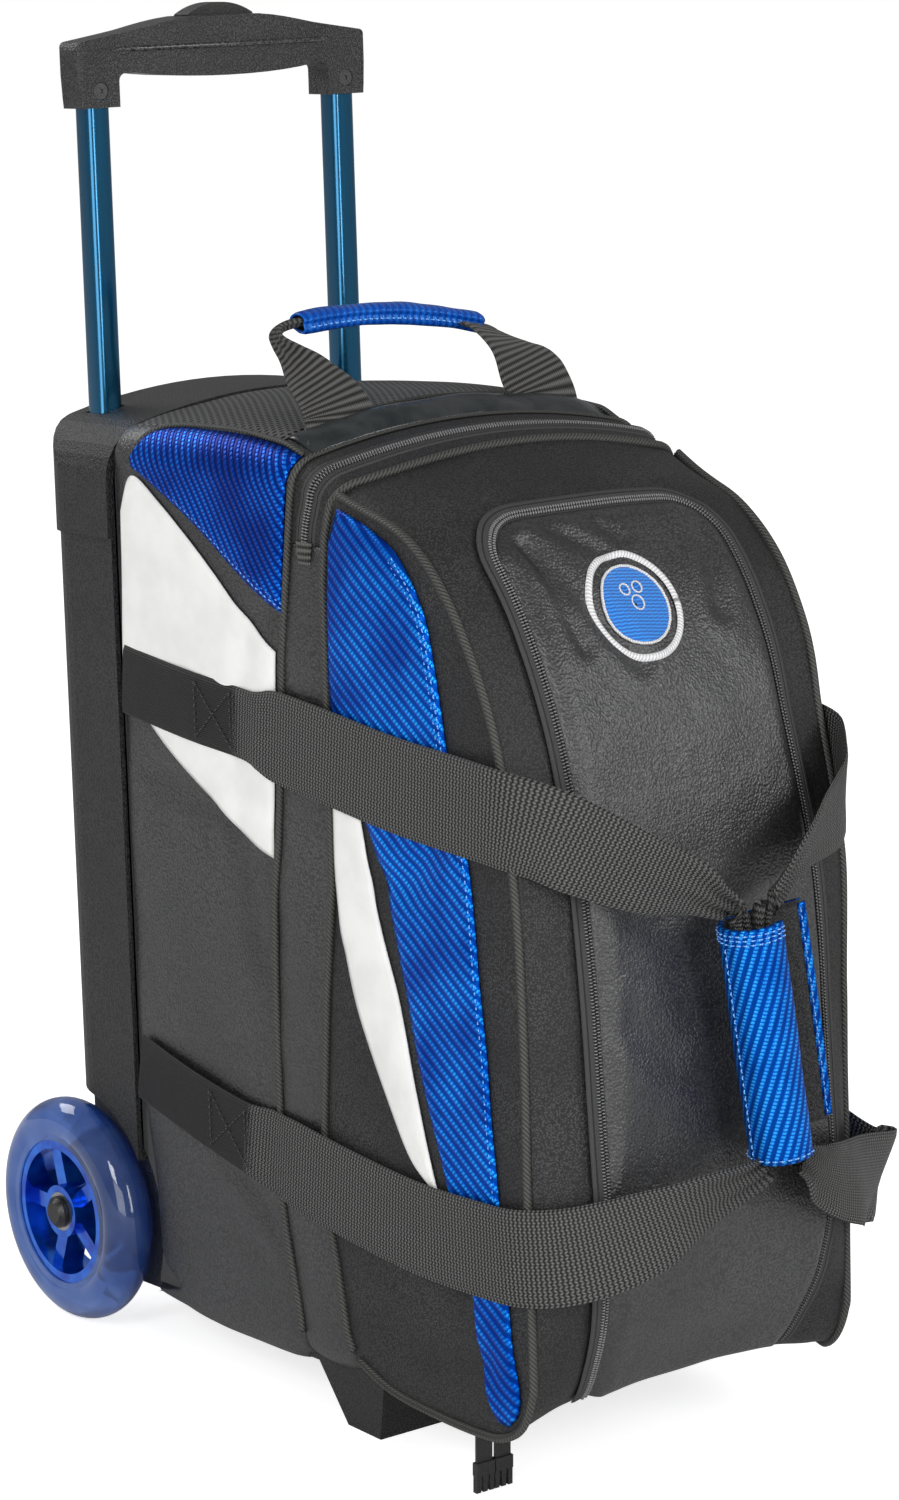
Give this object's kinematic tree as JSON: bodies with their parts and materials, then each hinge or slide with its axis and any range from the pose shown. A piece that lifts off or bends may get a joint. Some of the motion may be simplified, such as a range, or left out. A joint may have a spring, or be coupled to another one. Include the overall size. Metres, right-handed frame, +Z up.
{
  "type": "bowling ball bag",
  "caption": "Wheeled bowling ball bag with telescopic handle, zipped front leaf, front pocket, carry straps joined by a padded wrap, and a front foot.",
  "frame": {"origin": "on the floor, under the middle of the whole bag's box", "axes": "+Z up; the bag's front faces -Y and its wheels are at +Y; +X is to the right seen from the front looking at the bag's back, along the axle"},
  "size_m": [0.2736, 0.5248, 0.732],
  "materials": {
    "pu_leather": "pebbled soft sheen",
    "body_fabric": "fine woven, matte",
    "lining": "matte",
    "foam": "matte",
    "board": "matte",
    "mesh": "open mesh",
    "zip": "woven tape with coil teeth",
    "webbing": "ribbed webbing",
    "moulded_plastic": "fine texture",
    "grip_plastic": "grained",
    "bare_aluminium": "drawn",
    "blue_aluminium": "anodised satin",
    "steel": "bright",
    "clear_blue_tyre": "glossy translucent",
    "blue_hub": "glossy",
    "blue_vinyl": "embossed twill, glossy",
    "white_vinyl": "smooth sheen",
    "badge": "embroidered"
  },
  "bodies": {
    "bag": {"base_board": "board", "rear_shell": "pu_leather", "rear_panel": "lining", "front_shell": "pu_leather", "divider_panel": "lining", "side_pads": "foam", "lower_ball_cup": "foam", "separator": "foam", "mesh_panel": "mesh", "handle_patch": "pu_leather", "zip_tape_body": "zip", "blue_panel_rear_left": "blue_vinyl", "blue_panel_rear_right": "blue_vinyl", "white_panel_rear_left": "white_vinyl", "white_panel_rear_right": "white_vinyl", "blue_panel_front_left": "blue_vinyl", "blue_panel_front_right": "blue_vinyl", "white_panel_front_left": "white_vinyl", "white_panel_front_right": "white_vinyl", "pocket_lower": "pu_leather", "strap_anchors_left": "webbing", "strap_anchors_right": "webbing", "handle_anchors": "webbing", "back_tray": "moulded_plastic", "top_cap": "moulded_plastic", "guide_tube_left": "bare_aluminium", "guide_tube_right": "bare_aluminium", "axle_block_left": "moulded_plastic", "axle_block_right": "moulded_plastic", "axle": "steel", "axle_sleeves": "bare_aluminium", "axle_caps": "moulded_plastic", "foot": "moulded_plastic", "foot_screws": "steel", "zip_sliders": "steel"},
    "lid": {"lid_shell": "body_fabric", "zip_tape_lid": "zip", "pocket_upper": "pu_leather", "lid_blue_panels": "blue_vinyl", "badge": "badge"},
    "trolley": {"inner_tube_left": "blue_aluminium", "inner_tube_right": "blue_aluminium", "tube_plugs": "moulded_plastic", "grip_lower": "grip_plastic", "grip_upper": "grip_plastic", "grip_screws": "steel"},
    "button": {"release_button": "grip_plastic", "push_rods": "bare_aluminium"},
    "wheel_left": {"tyre_left": "clear_blue_tyre", "hub_left": "blue_hub", "bearings_left": "steel"},
    "wheel_right": {"tyre_right": "clear_blue_tyre", "hub_right": "blue_hub", "bearings_right": "steel"},
    "top_handle": {"handle_webbing": "webbing", "handle_wrap": "blue_vinyl"},
    "loop_left": {"carry_strap_left": "webbing", "grip_wrap": "blue_vinyl"},
    "loop_right": {"carry_strap_right": "webbing"},
    "tails": {"buckle_tails": "webbing"}
  },
  "joints": [
    {"name": "trolley_slide", "type": "slide", "parent": "bag", "child": "trolley", "axis": [0, 0.0436, 0.999], "range_m": [-0.15, 0.18]},
    {"name": "button_press", "type": "slide", "parent": "trolley", "child": "button", "axis": [0, 0.0436, 0.999], "range_m": [-0.004, 0], "stiffness_N_per_m": 800, "springref_m": 0.004},
    {"name": "wheel_left_spin", "type": "hinge", "parent": "bag", "child": "wheel_left", "pos_m": [-0.12, 0.198, 0.0635], "axis": [1, 0, 0], "continuous": true},
    {"name": "wheel_right_spin", "type": "hinge", "parent": "bag", "child": "wheel_right", "pos_m": [0.12, 0.198, 0.0635], "axis": [1, 0, 0], "continuous": true},
    {"name": "lid_fold", "type": "hinge", "parent": "bag", "child": "lid", "pos_m": [0, -0.18853, 0.39217], "axis": [1, 0, 0], "range_deg": [0, 80]},
    {"name": "top_handle_swing", "type": "hinge", "parent": "bag", "child": "top_handle", "pos_m": [0, 0.01628, 0.53237], "axis": [1, 0, 0], "range_deg": [-33, 95]},
    {"name": "loop_left_swing", "type": "hinge", "parent": "bag", "child": "loop_left", "pos_m": [-0.1198, -0.00167, 0.25889], "axis": [0, -0.0436, -0.999], "range_deg": [0, 75]},
    {"name": "loop_right_swing", "type": "hinge", "parent": "bag", "child": "loop_right", "pos_m": [0.1198, -0.00167, 0.25889], "axis": [0, 0.0436, 0.999], "range_deg": [0, 75]},
    {"name": "tails_swing", "type": "hinge", "parent": "bag", "child": "tails", "pos_m": [0, -0.15339, 0.0382], "axis": [1, 0, 0], "range_deg": [-50, 50]}
  ]
}
